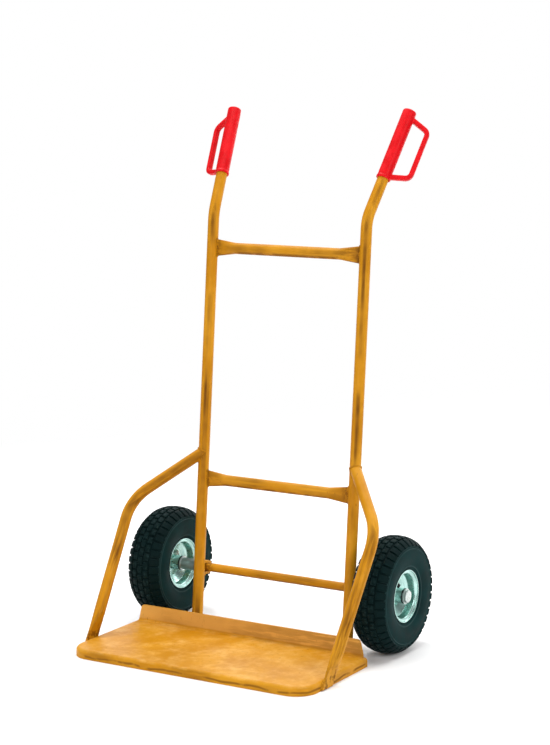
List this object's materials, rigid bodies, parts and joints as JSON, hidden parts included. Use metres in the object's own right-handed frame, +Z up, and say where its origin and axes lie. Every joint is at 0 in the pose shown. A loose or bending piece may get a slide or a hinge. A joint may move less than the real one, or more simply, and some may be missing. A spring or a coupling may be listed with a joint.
{
  "type": "demijohn trolley",
  "caption": "Tubular steel hand truck with a broad low toe plate, side braces, bent handles with guarded grips and block-treaded pneumatic wheels on a fixed axle.",
  "frame": {"origin": "middle of the footprint's box, on the ground", "axes": "+X to the right seen from the front, where the toe plate is, +Y to the back, where the wheels and handles are, +Z up; the trolley stands on its toe plate and its wheels"},
  "size_m": [0.6676, 0.594, 1.1829],
  "materials": {
    "frame_paint": "yellow-ochre enamel, satin, with brownish wear along the tubes and folds",
    "grip_plastic": "smooth bright red moulded plastic",
    "axle_steel": "bright zinc plated, dulled",
    "rim_zinc": "bright zinc plate with a cool greenish cast",
    "bolt_zinc": "zinc plated",
    "bush_plastic": "natural nylon",
    "tyre_rubber": "moulded black rubber, slightly dusty in the tread",
    "tube_rubber": "smooth black butyl rubber",
    "cap_plastic": "moulded black plastic"
  },
  "bodies": {
    "frame": {"upper_crossbar": "frame_paint", "lower_crossbar": "frame_paint", "toe_plate": "frame_paint", "axle": "frame_paint", "left_upright": "frame_paint", "right_upright": "frame_paint", "left_side_arm": "frame_paint", "right_side_arm": "frame_paint", "left_runner": "frame_paint", "right_runner": "frame_paint", "left_axle_saddle": "frame_paint", "right_axle_saddle": "frame_paint", "left_axle_spacer": "axle_steel", "right_axle_spacer": "axle_steel", "left_inner_washer": "axle_steel", "right_inner_washer": "axle_steel", "left_outer_washer": "axle_steel", "right_outer_washer": "axle_steel", "left_axle_cap": "axle_steel", "right_axle_cap": "axle_steel", "left_grip": "grip_plastic", "right_grip": "grip_plastic"},
    "left_wheel": {"left_tyre": "tyre_rubber", "left_inner_tube": "tube_rubber", "left_outer_rim": "rim_zinc", "left_inner_rim": "rim_zinc", "left_hub": "rim_zinc", "left_outer_bush": "bush_plastic", "left_inner_bush": "bush_plastic", "left_rim_bolts": "bolt_zinc", "left_rim_nuts": "bolt_zinc", "left_valve_stem": "tube_rubber", "left_valve_cap": "cap_plastic"},
    "right_wheel": {"right_tyre": "tyre_rubber", "right_inner_tube": "tube_rubber", "right_outer_rim": "rim_zinc", "right_inner_rim": "rim_zinc", "right_hub": "rim_zinc", "right_outer_bush": "bush_plastic", "right_inner_bush": "bush_plastic", "right_rim_bolts": "bolt_zinc", "right_rim_nuts": "bolt_zinc", "right_valve_stem": "tube_rubber", "right_valve_cap": "cap_plastic"}
  },
  "joints": [
    {"name": "left_wheel_spin", "type": "hinge", "parent": "frame", "child": "left_wheel", "pos_m": [-0.2913, 0.09819, 0.13], "axis": [1, 0, 0], "continuous": true},
    {"name": "right_wheel_spin", "type": "hinge", "parent": "frame", "child": "right_wheel", "pos_m": [0.2913, 0.09819, 0.13], "axis": [1, 0, 0], "continuous": true}
  ]
}
